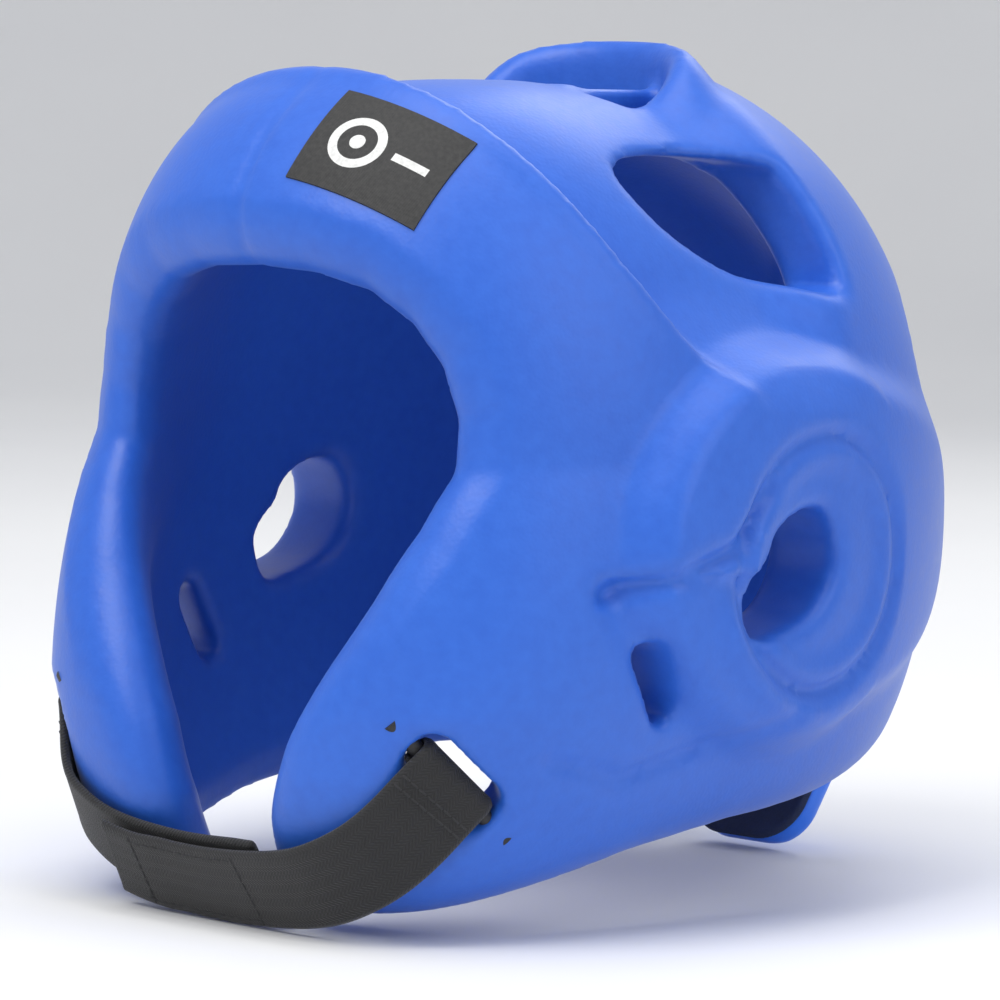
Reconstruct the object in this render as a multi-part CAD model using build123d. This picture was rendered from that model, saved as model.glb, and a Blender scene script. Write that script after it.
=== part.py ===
"""Open-face boxing headgear: a one-piece moulded foam guard with a hook-and-loop chin strap.

Frame: millimetres, +Z up, face opening towards -Y, wearer's left towards +X.
Origin: the middle of the bounding box on the plane the guard stands on.
"""

import os
from math import cos, radians, sin

from build123d import *

# ---- driving dimensions of the guard ----
half_width = 99.0  # side of the head form at its widest level
front_reach = 112.0  # from the widest station forward to the face frame
rear_reach = 142.0  # from the widest station back to the occiput
crown_z = 234.0  # top of the head form
widest_z = 102.0  # level of the widest section
station_y = -15.0  # fore-and-aft place of the widest station
side_drop = 128.0  # depth of the curve below the widest level at the sides
rear_drop = 112.0  # the same at the back
front_fullness = 3.4  # exponent of the front profile above the widest level: higher is squarer
chin_z = 45.0  # below this the face frame tucks under the chin
chin_drop = 75.0  # depth of that tuck

side_wall = 20.0
front_wall = 23.0
rear_wall = 26.0
crown_wall = 20.0

pod_proud = 9.0  # how far an ear pod stands out of the side
pod_half_length = 66.0
pod_half_height = 56.0
pod_y = -1.0
pod_z = 103.0

# ---- openings ----
brow_z = 172.0  # upper edge of the face opening
eye_half_gap = 63.0  # face opening at eye level
chin_half_gap = 22.0  # gap between the cheek ends
ear_hole_y = -10.5
ear_hole_z = 97.0
ear_hole_height = 32.0
ear_hole_width = 33.0
ear_hole_tail = 14.0  # width of its narrow lower end
side_slot_length = 24.0
side_slot_width = 8.0
side_slot_y = -54.0
side_slot_z = 70.0
side_slot_tilt = 25.0
crown_vent_length = 58.0
crown_vent_width = 34.0
crown_vent_y = 14.0
rear_vent_inner_x = 20.0
rear_vent_outer_x = 62.0
rear_vent_low_z = 134.0
rear_vent_high_z = 170.0

# ---- chin strap ----
strap_width = 25.0
strap_thickness = 2.4
strap_gap = 0.6  # clearance between strap layers, and to the foam
slot_length = 33.0
slot_width = 14.0
bar_radius = 2.2
bar_clearance = 0.05
bar_bite = 6.0  # how far each end of a bar is held in the foam
bar_recess = 5.0  # how much deeper the strap lies at its bar than out on the cheek
channel_margin = 1.5  # foam channel beside the strap, each side
patch_thickness = 0.8
patch_margin = 2.5
patch_gap = 0.1  # sewn patch to its own strap
closure_gap = 0.3  # hook face to loop face
stitch_radius = 0.45

# ---- label and nape ----
label_width = 41.0
label_height = 31.0
label_x = 36.0
label_y = -101.0
label_thickness = 0.8
tab_width = 40.0
tab_level = 38.0  # level where the nape tab lies against the foam
tab_lap = 12.0  # how far the tab runs up the foam from that level
tab_thickness = 3.6
pad_thickness = 8.0
pad_margin = 1.5
touch_gap = 0.05  # between pieces sewn or glued flat on each other

LEFT = 1
RIGHT = -1


def rise(share, power):
    """Height law of a superellipse: 1 at share 0, falling to 0 at share 1."""
    return max(1.0 - min(abs(share), 1.0) ** power, 0.0) ** (1.0 / power)


def side_at(z, wall=0.0, top=0.0):
    """Half width of the form at a level, inside a wall."""
    if z > widest_z:
        share = (z - widest_z) / (crown_z - top - widest_z)
    else:
        share = (widest_z - z) / side_drop
    return (half_width - wall) * rise(share, 2.2)


def rear_at(z, wall=0.0, top=0.0):
    """Reach behind the widest station at a level."""
    if z > widest_z:
        share = (z - widest_z) / (crown_z - top - widest_z)
    else:
        share = (widest_z - z) / rear_drop
    return (rear_reach - wall) * rise(share, 2.4)


def front_at(z, wall=0.0, top=0.0):
    """Reach in front of the widest station at a level."""
    if z > widest_z:
        return (front_reach - wall) * rise((z - widest_z) / (crown_z - top - widest_z), front_fullness)
    if z < chin_z:
        return (front_reach - wall) * rise((chin_z - z) / chin_drop, 2.0)
    return front_reach - wall


def squareness(z):
    """Exponent of the front half of a section: squarer at the cheeks, rounder above."""
    cheek, temple = 3.6, 2.35
    low, high = 60.0, 125.0
    share = min(max((z - low) / (high - low), 0.0), 1.0)
    return cheek + (temple - cheek) * share


def front_y(x, z, wall=0.0):
    """Y of the front surface at a point of the front view."""
    n = squareness(z)
    share = min(abs(x) / side_at(z, wall), 1.0)
    return station_y - front_at(z, wall) * (1.0 - share**n) ** (1.0 / n)


def top_z(x, y):
    """Level of the upper surface above a point of the plan."""
    low, high = widest_z, crown_z
    for _ in range(40):
        z = 0.5 * (low + high)
        n = squareness(z)
        forward = y < station_y
        across = front_at(z) if forward else rear_at(z)
        power = n if forward else 2.1
        a = side_at(z)
        if a < 0.01 or (abs(x) / a) ** power + (abs(y - station_y) / across) ** power > 1.0:
            high = z
        else:
            low = z
    return low


def side_x(y, z):
    """X of the left side's surface at a point of the side view."""
    forward = y < station_y
    n = squareness(z) if forward else 2.1
    across = front_at(z) if forward else rear_at(z)
    share = min(abs(y - station_y) / across, 1.0)
    return side_at(z) * (1.0 - share**n) ** (1.0 / n)


def side_normal(y, z):
    """Outward normal of the left side's surface."""
    step = 0.5
    slope_y = (side_x(y + step, z) - side_x(y - step, z)) / (2 * step)
    slope_z = (side_x(y, z + step) - side_x(y, z - step)) / (2 * step)
    return Vector(1, -slope_y, -slope_z).normalized()


def half_section(z, wall, front, rear, top):
    """Left half of a horizontal section of the form, closed along the middle plane."""
    a = side_at(z, wall, top)
    f = front_at(z, front, top)
    r = rear_at(z, rear, top)
    n = squareness(z)
    points = []
    steps = 16
    for i in range(steps + 1):
        angle = radians(-90.0 + 180.0 * i / steps)
        behind = sin(angle) > 0
        x = a * max(cos(angle), 0.0) ** (2.0 / 2.1 if behind else 2.0 / n)
        y = r * sin(angle) ** (2.0 / 2.1) if behind else -f * (-sin(angle)) ** (2.0 / n)
        points.append(Vector(x, station_y + y, z))
    curve = Edge.make_spline(points, tangents=[Vector(1, 0, 0), Vector(-1, 0, 0)])
    return Face(Wire([curve, Edge.make_line(points[-1], points[0])]))


def half_form(floor_z, wall=0.0, front=0.0, rear=0.0, top=0.0):
    """Left half of the head form, lofted upwards from a level, inside the given walls."""
    shares = (0.2, 0.45, 0.7, 0.88, 1.0)
    faces = [half_section(floor_z, wall, front, rear, top)]
    for share in shares:
        faces.append(half_section(widest_z * share, wall, front, rear, top))
    for share in (0.3, 0.55, 0.76, 0.9, 0.975):
        z = widest_z + share * (crown_z - top - widest_z)
        faces.append(half_section(z, wall, front, rear, top))
    return loft(faces)


def outline_prism(points, plane, low, high):
    """Straight prism through a smooth closed outline on a plane, from low to high along its normal."""
    corners = [plane.from_local_coords(Vector(u, v, low)) for u, v in points]
    face = Face(Wire([Edge.make_spline(corners, periodic=True)]))
    return extrude(face, amount=high - low, dir=plane.z_dir)


def polygon_prism(points, plane, low, high, radius=0.0):
    """Straight prism through a polygon on a plane, with rounded upright edges."""
    corners = [plane.from_local_coords(Vector(u, v, low)) for u, v in points]
    wire = Wire.make_polygon(corners, close=True)
    if radius > 0:
        wire = wire.fillet_2d(radius, wire.vertices())
    return extrude(Face(wire), amount=high - low, dir=plane.z_dir)


SIDE_VIEW = Plane(origin=(0, 0, 0), x_dir=(0, 1, 0), z_dir=(1, 0, 0))
FRONT_VIEW = Plane(origin=(0, 0, 0), x_dir=(1, 0, 0), z_dir=(0, -1, 0))
BACK_VIEW = Plane(origin=(0, 0, 0), x_dir=(-1, 0, 0), z_dir=(0, 1, 0))
PLAN_VIEW = Plane.XY

FAR = 200.0  # beyond any surface of the guard

# ---- the cheek slot's own frame, on the wearer's left ----
slot_y = station_y - 0.826 * front_reach
slot_z = 44.0
slot_normal = side_normal(slot_y, slot_z)
slot_back = Vector(slot_normal.Y * -1, slot_normal.X, 0).normalized()
slot_up = slot_normal.cross(slot_back).normalized()
slot_long = (slot_up - slot_back).normalized()  # leans forward at its top
slot_short = (slot_up + slot_back).normalized()
slot_centre = Vector(side_x(slot_y, slot_z), slot_y, slot_z)
SLOT_PLANE = Plane(origin=slot_centre, x_dir=slot_long, z_dir=slot_normal)

loop_inner = bar_radius + bar_clearance
loop_outer = loop_inner + strap_thickness
strap_lift = strap_gap + strap_thickness / 2  # strap's middle above the foam
bar_depth = loop_inner + strap_thickness / 2 - strap_lift + bar_recess
bar_forward = slot_width / 2 - loop_outer - 1.0
bar_centre = slot_centre - slot_normal * bar_depth - slot_short * bar_forward


def bottom_cutter():
    """Everything under the guard's lower edge, as seen from the side."""
    edge = ((-112.0, 0.0), (-98.0, 1.5), (-75.0, 8.0), (-41.0, 17.5), (-5.0, 24.0), (45.0, 27.0),
            (90.0, 30.0), (160.0, 34.0))
    points = [SIDE_VIEW.from_local_coords(Vector(y, z, -5)) for y, z in edge]
    curve = Edge.make_spline(points, tangents=[Vector(0, 1, 0), Vector(0, 1, 0.05)])
    corners = [SIDE_VIEW.from_local_coords(Vector(y, z, -5)) for y, z in (
        (160.0, -40.0), (-160.0, -40.0), (-160.0, 0.0))]
    lines = [Edge.make_line(curve @ 1, corners[0]), Edge.make_line(corners[0], corners[1]),
             Edge.make_line(corners[1], corners[2]), Edge.make_line(corners[2], curve @ 0)]
    return extrude(Face(Wire([curve] + lines)), amount=FAR, dir=(1, 0, 0))


def face_cutter():
    """Left half of the face opening: wide at the eyes, narrow at the chin."""
    g = eye_half_gap
    c = chin_half_gap
    b = brow_z
    curve = Edge.make_spline([FRONT_VIEW.from_local_coords(Vector(x, z, 0)) for x, z in (
        (-1.0, b), (0.33 * g, b - 0.8), (0.67 * g, b - 5.0), (0.9 * g, b - 15.0), (g, b - 34.0),
        (0.96 * g, b - 54.0), (0.82 * g, b - 78.0), (0.62 * g, b - 101.0), (0.47 * g, b - 122.0),
        (c + 2.5, b - 142.0), (c, b - 160.0))])
    lower = [FRONT_VIEW.from_local_coords(Vector(x, z, 0)) for x, z in ((c, -30.0), (-1.0, -30.0))]
    lines = [Edge.make_line(curve @ 1, lower[0]), Edge.make_line(lower[0], lower[1]),
             Edge.make_line(lower[1], curve @ 0)]
    face = Face(Wire([curve] + lines))
    return extrude(face, amount=FAR, dir=(0, -1, 0)).moved(Location((0, station_y - 25.0, 0)))


def ear_cutter():
    """Tear-shaped ear hole, narrow at its lower front."""
    y, z = ear_hole_y, ear_hole_z
    w, h, t = ear_hole_width / 2, ear_hole_height / 2, ear_hole_tail / 2
    points = ((y - w, z - 0.35 * h), (y - 0.45 * w, z + 0.3 * h), (y, z + 0.85 * h), (y + 0.55 * w, z + h),
              (y + w, z + 0.45 * h), (y + 0.95 * w, z - 0.1 * h), (y + 0.45 * w, z - 0.75 * h),
              (y - 0.3 * w, z - h), (y - w + 0.8 * t, z - 1.05 * h))
    return outline_prism(points, SIDE_VIEW, 40.0, FAR)


def side_slot_cutter():
    """Narrow rounded slot in front of the ear."""
    slot = SlotOverall(side_slot_length, side_slot_width, rotation=90.0 + side_slot_tilt)
    face = SIDE_VIEW * Location((side_slot_y, side_slot_z, 40.0)) * slot
    return extrude(face, amount=FAR, dir=(1, 0, 0))


def side_vent_cutter():
    """Four-sided vent high on the side of the crown."""
    points = ((-28.0, 205.0), (26.5, 205.0), (37.0, 172.0), (21.0, 171.0), (-14.0, 181.0), (-26.0, 192.0))
    return polygon_prism(points, SIDE_VIEW, 30.0, FAR, radius=4.0)


def rear_vent_cutter():
    """Four-sided vent at the back of the crown."""
    i, o, low, high = rear_vent_inner_x, rear_vent_outer_x, rear_vent_low_z, rear_vent_high_z
    points = ((-i, low), (-i, high), (-o + 10.0, high - 2.0), (-o, low + 4.0))
    return polygon_prism(points, BACK_VIEW, 40.0, FAR, radius=6.0)


def crown_vent_cutter():
    """Left half of the oval vent through the top of the crown."""
    points = Ellipse(crown_vent_length / 2, crown_vent_width / 2)
    whole = extrude(Location((0, crown_vent_y, 150.0)) * points, amount=FAR)
    return whole & Box(FAR, FAR, FAR, align=(Align.MIN, Align.CENTER, Align.MIN)).moved(Location((-1, 0, 100)))


def cheek_slot_cutter():
    """Slot through the cheek for the strap's loop, with the holes that take its bar."""
    slot = extrude(SLOT_PLANE * RectangleRounded(slot_length, slot_width, 5.0), amount=30.0, both=True)
    return slot + bar_solid()


def bar_solid():
    """Stiff bar across the left cheek slot, its ends set in the foam."""
    length = slot_length + 2 * bar_bite
    axis = Plane(origin=bar_centre - slot_long * (length / 2), z_dir=slot_long)
    return extrude(axis * Circle(bar_radius), amount=length)


def ear_pod():
    """Left ear pod: a low dome standing out of the side."""
    bulge = scale(Sphere(1.0), by=(45.0, pod_half_length, pod_half_height))
    return bulge.moved(Location((half_width + pod_proud - 45.0, pod_y, pod_z)))


def foam_shell():
    """Moulded one-piece foam body."""
    half = half_form(-8.0) + ear_pod()
    half = half - half_form(-20.0, side_wall, front_wall, rear_wall, crown_wall)
    for cutter in (bottom_cutter(), face_cutter(), ear_cutter(), side_slot_cutter(), side_vent_cutter(),
                   rear_vent_cutter(), crown_vent_cutter(), cheek_slot_cutter(), strap_channel()):
        half = half - cutter
    return half + mirror(half, Plane.YZ)


# ---- the strap's route over the left cheek and under the chin, on the foam's own surface ----
ROUTE = ((69.0, 37.2), (60.0, 28.8), (48.0, 21.8), (36.0, 17.8), (18.0, 15.4), (0.0, 14.8),
         (-18.0, 15.4), (-35.0, 17.6))
route_start = slot_centre - slot_short * bar_forward
route = Edge.make_spline([route_start] + [Vector(x, front_y(x, z), z) for x, z in ROUTE],
                         tangents=[slot_short * -1, Vector(-1, 0, 0.2)])
STATIONS = tuple(i / 16.0 for i in range(17))
RECESS_END = 0.22  # share of the route after which the strap is clear of the recess
OUTER_LIFT = strap_lift + strap_thickness + 2 * patch_thickness + 2 * patch_gap + closure_gap


def face_normal(point):
    """Outward normal of the face frame's surface at a point on it."""
    step = 0.5
    slope_x = (front_y(point.X + step, point.Z) - front_y(point.X - step, point.Z)) / (2 * step)
    slope_z = (front_y(point.X, point.Z + step) - front_y(point.X, point.Z - step)) / (2 * step)
    return Vector(slope_x, -1, slope_z).normalized()


def station(u, lift):
    """Plane across the strap at a share of its route, raised above the foam."""
    point = route.position_at(u)
    along = route.tangent_at(u)
    if u == 0:
        outward = slot_normal
    else:
        outward = face_normal(point)
    outward = (outward - along * outward.dot(along)).normalized()
    return Plane(origin=point + outward * lift, x_dir=outward.cross(along), z_dir=along)


def ease(share):
    """Smooth step from 0 to 1."""
    share = min(max(share, 0.0), 1.0)
    return share * share * (3.0 - 2.0 * share)


def inner_lift(u):
    """Height of the strap half next to the chin: it rises out of the slot's recess, then lies on the foam."""
    return strap_lift - bar_recess * (1.0 - ease(u / RECESS_END))


def outer_lift(u):
    """Height of the overlapping strap half: it also climbs over the tip of the other half."""
    return inner_lift(u) + (OUTER_LIFT - strap_lift) * ease((u - 0.1) / 0.3)


def ribbon(first, last, lift, offset, width, thickness):
    """Flat band along the route between two stations, offset from the strap's middle."""
    faces = []
    for u in STATIONS[first:last + 1]:
        faces.append(station(u, lift(u) + offset) * Rectangle(width, thickness))
    return loft(faces)


CHANNEL_LAST = 3
LEFT_LAST = 16
RIGHT_LAST = 14
PATCH_FIRST = 9
PATCH_LAST_LEFT = 15
PATCH_LAST_RIGHT = 13
patch_offset = strap_thickness / 2 + patch_gap + patch_thickness / 2


LOOP_ARC = 302.0  # how far the strap's end wraps round its bar before it meets the strap again


def strap_loop(lift):
    """End of the strap folded round its bar and sewn back on itself."""
    end = station(0, lift(0)) * Rectangle(strap_width, strap_thickness)
    return revolve(end, axis=Axis(bar_centre, slot_long), revolution_arc=LOOP_ARC)


def strap_channel():
    """Recess under the strap where it climbs out of the left cheek slot."""
    depth = 14.0
    offset = depth / 2 - strap_thickness / 2 - strap_gap
    return ribbon(0, CHANNEL_LAST, inner_lift, offset, strap_width + 2 * channel_margin, depth)


def chin_strap(lift, last):
    """One strap half, in the left side's place."""
    return ribbon(0, last, lift, 0.0, strap_width, strap_thickness) + strap_loop(lift)


def closure_patch(lift, last, offset):
    """Hook or loop facing sewn along a strap half, in the left side's place."""
    return ribbon(PATCH_FIRST, last, lift, offset, strap_width - 2 * patch_margin, patch_thickness)


def stitch(plane, x, length):
    """One stitch lying on a plane, along its X direction."""
    start = plane.from_local_coords(Vector(x - length / 2, 0, 0))
    body = extrude(Plane(origin=start, z_dir=plane.x_dir) * Circle(stitch_radius), amount=length)
    return body


def strap_stitching(lift):
    """Two rows of stitches closing the strap's loop, in the left side's place."""
    stitches = []
    count = 6
    pitch = (strap_width - 4.0) / count
    for u in (0.07, 0.11):
        plane = station(u, lift(u) + strap_thickness / 2 + touch_gap + stitch_radius)
        for i in range(count):
            stitches.append(stitch(plane, (i - (count - 1) / 2) * pitch, pitch * 0.66))
    return Compound(children=stitches)


def forehead_label():
    """Flat woven label glued on the front of the crown, on the wearer's left of the middle seam."""
    x, y = label_x, label_y
    z = top_z(x, y)
    step = 1.0
    slope_x = (top_z(x + step, y) - top_z(x - step, y)) / (2 * step)
    slope_y = (top_z(x, y + step) - top_z(x, y - step)) / (2 * step)
    outward = Vector(-slope_x, -slope_y, 1).normalized()
    level = Vector(1, 0, -0.1)
    across = (level - outward * level.dot(outward)).normalized()
    plane = Plane(origin=Vector(x, y, z), x_dir=across, z_dir=outward)
    block = extrude(plane * RectangleRounded(label_width, label_height, 1.5), amount=14.0, both=True)
    near = -touch_gap
    far = near - label_thickness
    over = half_form(widest_z - 80.0, far, far, far, far)
    under = half_form(widest_z - 80.0, near, near, near, near)
    return (block & over) - under


# ---- nape tab ----
tab_slope = (rear_at(tab_level + 1.0) - rear_at(tab_level - 1.0)) / 2.0
tab_up = Vector(0, tab_slope, 1).normalized()
tab_out = Vector(0, tab_up.Z, -tab_up.Y)
tab_base = Vector(0, station_y + rear_at(tab_level), tab_level)
TAB_PLANE = Plane(origin=tab_base + tab_out * (strap_gap + 0.4), x_dir=(-1, 0, 0), z_dir=tab_out)
tab_stack = strap_gap + 0.4 + tab_thickness + touch_gap + pad_thickness
tab_reach = (tab_level - tab_out.Z * -tab_stack) / tab_up.Z + pad_margin - 0.4


def tongue(margin, top, lift, thickness, radius):
    """Tongue-shaped plate on the tab's plane with a rounded lower end."""
    half = tab_width / 2 - margin
    foot = -tab_reach + margin
    corner = half - 6.0
    wire = Wire.make_polygon([Vector(-half, top, lift), Vector(half, top, lift), Vector(half, foot, lift),
                              Vector(-half, foot, lift)], close=True)
    rounded = wire.fillet_2d(corner, wire.vertices().sort_by(Axis.Y)[:2])
    face = TAB_PLANE.from_local_coords(Face(rounded))
    plate = extrude(face, amount=thickness, dir=TAB_PLANE.z_dir)
    if radius > 0:
        plate = fillet(plate.faces().sort_by(Axis(TAB_PLANE.origin, TAB_PLANE.z_dir))[-1].edges(), radius)
    return plate


def nape_tab():
    """Dark backing of the nape tab, sewn to the foam along its upper edge."""
    return tongue(0.0, tab_lap, 0.0, tab_thickness, 0.0)


def nape_tab_pad():
    """Moulded pad bonded on the back of the tab."""
    return tongue(pad_margin, -3.0, tab_thickness + touch_gap, pad_thickness, 1.8)


def nape_stitching():
    """Row of stitches along the upper edge of the nape tab."""
    stitches = []
    count = 8
    pitch = (tab_width - 6.0) / count
    lift = tab_thickness + touch_gap + stitch_radius
    origin = TAB_PLANE.from_local_coords(Vector(0, tab_lap - 3.5, lift))
    plane = Plane(origin=origin, x_dir=(1, 0, 0), z_dir=TAB_PLANE.z_dir)
    for i in range(count):
        stitches.append(stitch(plane, (i - (count - 1) / 2) * pitch, pitch * 0.66))
    return Compound(children=stitches)


def right_hand(shape):
    """The same shape on the wearer's right."""
    return mirror(shape, Plane.YZ)


def build():
    """Every piece under its node name."""
    return {
        "foam_shell": foam_shell(),
        "forehead_label": forehead_label(),
        "left_slot_bar": bar_solid(),
        "right_slot_bar": right_hand(bar_solid()),
        "left_chin_strap": chin_strap(outer_lift, LEFT_LAST),
        "right_chin_strap": right_hand(chin_strap(inner_lift, RIGHT_LAST)),
        "left_strap_stitching": strap_stitching(outer_lift),
        "right_strap_stitching": right_hand(strap_stitching(inner_lift)),
        "hook_patch": closure_patch(outer_lift, PATCH_LAST_LEFT, -patch_offset),
        "loop_patch": right_hand(closure_patch(inner_lift, PATCH_LAST_RIGHT, patch_offset)),
        "nape_tab": nape_tab(),
        "nape_tab_pad": nape_tab_pad(),
        "nape_stitching": nape_stitching(),
    }


def placed(shapes):
    """All the pieces moved so that the guard stands on the origin plane, centred over the origin."""
    boxes = [shape.bounding_box() for shape in shapes.values()]
    floor = min(box.min.Z for box in boxes)
    middle = (min(box.min.Y for box in boxes) + max(box.max.Y for box in boxes)) / 2
    shift = Location((0, -middle, -floor))
    return {name: shape.moved(shift) for name, shape in shapes.items()}


os.makedirs("parts", exist_ok=True)
for name, shape in placed(build()).items():
    export_step(shape, f"parts/{name}.step")
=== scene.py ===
from math import cos, pi, radians, sin

import bpy
import numpy as np
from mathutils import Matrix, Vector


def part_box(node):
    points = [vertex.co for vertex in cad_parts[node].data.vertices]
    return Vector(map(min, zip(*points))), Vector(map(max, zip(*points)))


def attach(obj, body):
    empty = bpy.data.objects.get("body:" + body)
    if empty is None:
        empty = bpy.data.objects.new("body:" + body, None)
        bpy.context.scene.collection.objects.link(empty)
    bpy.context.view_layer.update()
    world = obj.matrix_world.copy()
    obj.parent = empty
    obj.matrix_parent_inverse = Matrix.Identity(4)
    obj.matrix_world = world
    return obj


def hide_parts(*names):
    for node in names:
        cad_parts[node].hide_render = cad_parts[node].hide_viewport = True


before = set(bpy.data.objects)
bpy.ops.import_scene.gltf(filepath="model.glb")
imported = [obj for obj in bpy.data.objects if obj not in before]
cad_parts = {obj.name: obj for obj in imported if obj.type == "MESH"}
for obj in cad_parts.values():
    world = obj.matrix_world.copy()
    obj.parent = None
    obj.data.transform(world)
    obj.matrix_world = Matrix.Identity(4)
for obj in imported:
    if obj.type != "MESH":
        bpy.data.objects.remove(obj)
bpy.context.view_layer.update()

import openvdb
from mathutils import Matrix, Quaternion, Vector
from mathutils.bvhtree import BVHTree

MM = 0.001
shell_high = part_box("foam_shell")[1]
# the form below is written in millimetres about the widest station of the head, on the standing plane
STATION_Y = shell_high[1] / MM - 142.0
FLOOR_Z = shell_high[2] / MM - 230.7


def to_frame(points):
    """Points of the head form, in millimetres, moved into the frame, in metres."""
    return (np.asarray(points, float) + np.array([0.0, STATION_Y, FLOOR_Z])) * MM


# ------------------------------------------------------------------ small numpy helpers
def smooth(edge_a, edge_b, x):
    t = np.clip((x - edge_a) / (edge_b - edge_a), 0.0, 1.0)
    return t * t * (3.0 - 2.0 * t)


def smax(a, b, k):
    h = np.maximum(k - np.abs(a - b), 0.0) / k
    return np.maximum(a, b) + h * h * k * 0.25


def smin(a, b, k):
    return -smax(-a, -b, k)


def polygon_distance(points, u, v):
    """Signed distance, negative inside, from a closed polygon on a 2-D grid."""
    best = np.full(u.shape, 1e9)
    inside = np.zeros(u.shape, bool)
    count = len(points)
    for i in range(count):
        ax, ay = points[i]
        bx, by = points[(i + 1) % count]
        ex, ey = bx - ax, by - ay
        wx, wy = u - ax, v - ay
        t = np.clip((wx * ex + wy * ey) / (ex * ex + ey * ey), 0.0, 1.0)
        best = np.minimum(best, (wx - ex * t) ** 2 + (wy - ey * t) ** 2)
        crosses = ((ay > v) != (by > v)) & (u < ex * (v - ay) / (ey if ey else 1e-9) + ax)
        inside ^= crosses
    return np.sqrt(best) * np.where(inside, -1.0, 1.0)


def line_distance(points, u, v):
    """Distance from an open polyline on a 2-D grid."""
    best = np.full(u.shape, 1e9)
    for (ax, ay), (bx, by) in zip(points, points[1:]):
        ex, ey = bx - ax, by - ay
        wx, wy = u - ax, v - ay
        t = np.clip((wx * ex + wy * ey) / (ex * ex + ey * ey), 0.0, 1.0)
        best = np.minimum(best, (wx - ex * t) ** 2 + (wy - ey * t) ** 2)
    return np.sqrt(best)


def rounded(points, steps=6):
    """Closed outline through the points, smoothed as a Catmull-Rom curve."""
    out = []
    count = len(points)
    for i in range(count):
        p0, p1, p2, p3 = (np.array(points[(i + j) % count], float) for j in (-1, 0, 1, 2))
        for j in range(steps):
            t = j / steps
            out.append(tuple(0.5 * (2 * p1 + (p2 - p0) * t + (2 * p0 - 5 * p1 + 4 * p2 - p3) * t * t
                                    + (3 * p1 - p0 - 3 * p2 + p3) * t ** 3)))
    return out


# ------------------------------------------------------------------ sizes of the head form, in millimetres
HALF_WIDTH, FRONT, REAR, CROWN, WIDEST = 99.0, 112.0, 142.0, 234.0, 102.0
SIDE_WALL, FRONT_WALL, REAR_WALL, CROWN_WALL = 20.0, 23.0, 26.0, 20.0
# the left cheek slot: its middle on the foam, and the directions out of it, along it and across it
SLOT = np.array([74.70, -92.51, 44.0])
SLOT_OUT = np.array([0.756203, -0.617264, -0.217123])
SLOT_LONG = np.array([-0.328202, -0.644868, 0.690238])
SLOT_SHORT = np.array([0.566075, 0.4507, 0.690238])

# ------------------------------------------------------------------ the strap's route
BAR = (np.array(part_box("left_slot_bar")[0]) + np.array(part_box("left_slot_bar")[1])) / 2
STRAP_W, STRAP_T, STRAP_LIFT = 25.0, 2.2, 1.8
FACING_W, FACING_T = 20.0, 0.9
# place from the bar's centre, direction across the strap and direction along it, at even shares of its route
STATIONS = (
    ((5.03, -4.1, -1.44), (0.328, 0.645, -0.69), (-0.566, -0.451, -0.69)),
    ((0.58, -6.84, -6.75), (0.395, 0.665, -0.634), (-0.628, -0.308, -0.714)),
    ((-4.38, -8.95, -11.89), (0.385, 0.641, -0.665), (-0.706, -0.259, -0.659)),
    ((-9.97, -10.69, -16.49), (0.352, 0.61, -0.71), (-0.794, -0.207, -0.572)),
    ((-16.17, -12.02, -20.38), (0.309, 0.581, -0.753), (-0.868, -0.151, -0.473)),
    ((-22.86, -12.93, -23.54), (0.262, 0.559, -0.786), (-0.923, -0.093, -0.374)),
    ((-29.89, -13.45, -25.94), (0.201, 0.546, -0.813), (-0.962, -0.049, -0.27)),
    ((-37.15, -13.7, -27.57), (0.132, 0.54, -0.831), (-0.985, -0.021, -0.17)),
    ((-44.53, -13.78, -28.56), (0.086, 0.54, -0.837), (-0.995, -0.001, -0.103)),
    ((-51.96, -13.73, -29.19), (0.067, 0.543, -0.837), (-0.997, 0.015, -0.07)),
    ((-59.4, -13.59, -29.6), (0.042, 0.547, -0.836), (-0.999, 0.018, -0.038)),
    ((-66.85, -13.51, -29.73), (-0.001, 0.549, -0.836), (-1.0, 0.004, 0.003)),
    ((-74.3, -13.55, -29.57), (-0.036, 0.547, -0.837), (-0.999, -0.013, 0.035)),
    ((-81.74, -13.67, -29.27), (-0.043, 0.543, -0.839), (-0.999, -0.017, 0.041)),
    ((-89.19, -13.74, -29.1), (-0.005, 0.543, -0.84), (-1.0, 0.01, 0.012)),
    ((-96.59, -13.65, -28.29), (-0.138, 0.542, -0.829), (-0.986, 0.006, 0.168)),
    ((-103.91, -13.63, -26.91), (-0.165, 0.542, -0.824), (-0.981, 0.0, 0.196)),
)
ROWS = np.array([list(a) + list(b) + list(c) for a, b, c in STATIONS])
ROUTE_LENGTH = 119.2


def catmull(rows, t):
    """Smooth value between rows at a fractional row number."""
    i = int(min(max(t, 0), len(rows) - 1.0001))
    f = t - i
    p0, p1 = rows[max(i - 1, 0)], rows[i]
    p2, p3 = rows[min(i + 1, len(rows) - 1)], rows[min(i + 2, len(rows) - 1)]
    return 0.5 * (2 * p1 + (p2 - p0) * f + (2 * p0 - 5 * p1 + 4 * p2 - p3) * f * f
                  + (3 * p1 - p0 - 3 * p2 + p3) * f ** 3)


def ease(share):
    share = min(max(share, 0.0), 1.0)
    return share * share * (3.0 - 2.0 * share)


def inner_lift(u):
    """Height of the right strap half over its route: it sinks towards its slot."""
    return STRAP_LIFT - 5.0 * (1.0 - ease(u / 0.25))


def outer_lift(u):
    """Height of the left strap half, which climbs over the right one."""
    return inner_lift(u) + 4.5 * ease((u - 0.1) / 0.3)


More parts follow.
